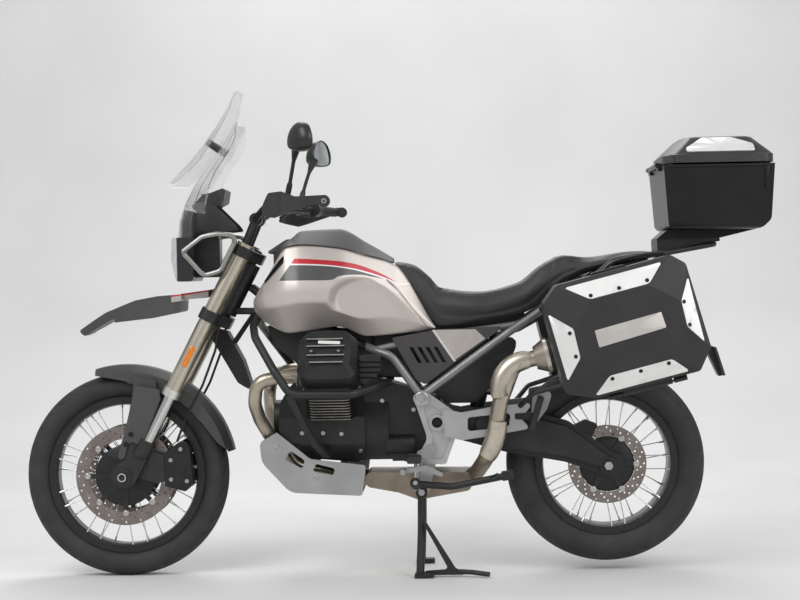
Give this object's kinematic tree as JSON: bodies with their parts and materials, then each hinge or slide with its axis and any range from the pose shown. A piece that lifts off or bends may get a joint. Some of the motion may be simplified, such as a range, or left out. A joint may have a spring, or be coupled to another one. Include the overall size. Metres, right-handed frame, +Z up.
{
  "type": "adventure motorcycle with panniers and top case",
  "caption": "Adventure motorcycle with transverse V-twin engine, shaft drive, tall clear screen, side panniers and top case, parked on its centre stand.",
  "frame": {"origin": "on the floor, under the centre of the bounding box", "axes": "+X forward along the motorcycle, +Y to the rider's left, +Z up"},
  "size_m": [2.4078, 0.9476, 1.57],
  "materials": {
    "silver_frame": "satin",
    "engine_black": "satin",
    "tank_champagne": "satin metallic",
    "cover_dark": "matte",
    "seat_black": "grained",
    "lamp_black": "gloss",
    "clear_screen": "clear",
    "black_plastic": "matte",
    "cast_aluminium": "cast satin",
    "rubber_black": "matte",
    "exhaust_metal": "heat tinted",
    "silencer_black": "satin",
    "plate_aluminium": "brushed",
    "black_steel": "satin",
    "lamp_red": "gloss",
    "case_black": "grained",
    "fork_champagne": "satin metallic",
    "fork_chrome": "polished",
    "rim_black": "gloss",
    "tyre_rubber": "matte",
    "disc_steel": "ground",
    "lid_dark": "grained"
  },
  "bodies": {
    "chassis": {"frame": "silver_frame", "engine_block": "engine_black", "cylinders": "engine_black", "throttle_bodies": "engine_black", "fuel_tank": "tank_champagne", "tank_cover": "cover_dark", "seat": "seat_black", "side_panels": "cover_dark", "beak": "cover_dark", "headlight": "lamp_black", "headlight_bracket": "silver_frame", "instrument": "lamp_black", "windscreen": "clear_screen", "screen_clamps": "black_plastic", "oil_cooler": "engine_black", "side_plates": "cast_aluminium", "peg_brackets": "cast_aluminium", "foot_controls": "rubber_black", "exhaust_pipes": "exhaust_metal", "silencer": "silencer_black", "skid_plate": "plate_aluminium", "crash_bars": "black_steel", "swingarm": "black_steel", "rear_caliper": "black_steel", "rear_shock": "black_steel", "rear_mudguard": "black_plastic", "tail_light": "lamp_red", "luggage_rack": "black_steel", "pannier_shells": "case_black", "top_case_tub": "case_black"},
    "steering": {"yokes": "black_steel", "fork_tubes": "fork_champagne", "fork_legs": "fork_chrome", "handlebar": "black_steel", "handguards": "black_plastic", "mirrors": "black_plastic", "front_mudguard": "cover_dark", "front_brakes": "black_steel"},
    "front_wheel": {"front_rim": "rim_black", "front_tyre": "tyre_rubber", "front_discs": "disc_steel"},
    "rear_wheel": {"rear_rim": "rim_black", "rear_tyre": "tyre_rubber", "rear_disc": "disc_steel"},
    "centre_stand": {"centre_stand": "black_steel"},
    "side_stand": {"side_stand": "black_steel"},
    "top_case_lid": {"top_case_lid": "lid_dark"},
    "pannier_left_lid": {"pannier_left_lid": "case_black"},
    "pannier_right_lid": {"pannier_right_lid": "case_black"}
  },
  "joints": [
    {"name": "steering_head", "type": "hinge", "parent": "chassis", "child": "steering", "pos_m": [0.444, 0, 1.0367], "axis": [-0.4648, 0, 0.8854], "range_deg": [-33, 33]},
    {"name": "front_wheel_axle", "type": "hinge", "parent": "steering", "child": "front_wheel", "pos_m": [0.875, 0, 0.329], "axis": [0, 1, 0], "continuous": true},
    {"name": "rear_wheel_axle", "type": "hinge", "parent": "chassis", "child": "rear_wheel", "pos_m": [-0.676, 0, 0.346], "axis": [0, 1, 0], "continuous": true},
    {"name": "centre_stand_pivot", "type": "hinge", "parent": "chassis", "child": "centre_stand", "pos_m": [-0.082, 0, 0.268], "axis": [0, 1, 0], "range_deg": [0, 72]},
    {"name": "side_stand_pivot", "type": "hinge", "parent": "chassis", "child": "side_stand", "pos_m": [-0.064, 0.172, 0.3], "axis": [-0.039, -0.9221, -0.385], "range_deg": [0, 100]},
    {"name": "top_case_lid_hinge", "type": "hinge", "parent": "chassis", "child": "top_case_lid", "pos_m": [-0.846, 0, 1.29275], "axis": [0, 1, 0], "range_deg": [0, 80]},
    {"name": "left_pannier_lid_hinge", "type": "hinge", "parent": "chassis", "child": "pannier_left_lid", "pos_m": [-0.777, 0.40075, 0.6069], "axis": [-0.9712, 0, 0.2382], "range_deg": [0, 75]},
    {"name": "right_pannier_lid_hinge", "type": "hinge", "parent": "chassis", "child": "pannier_right_lid", "pos_m": [-0.777, -0.40075, 0.6069], "axis": [0.9712, 0, -0.2382], "range_deg": [0, 75]}
  ]
}
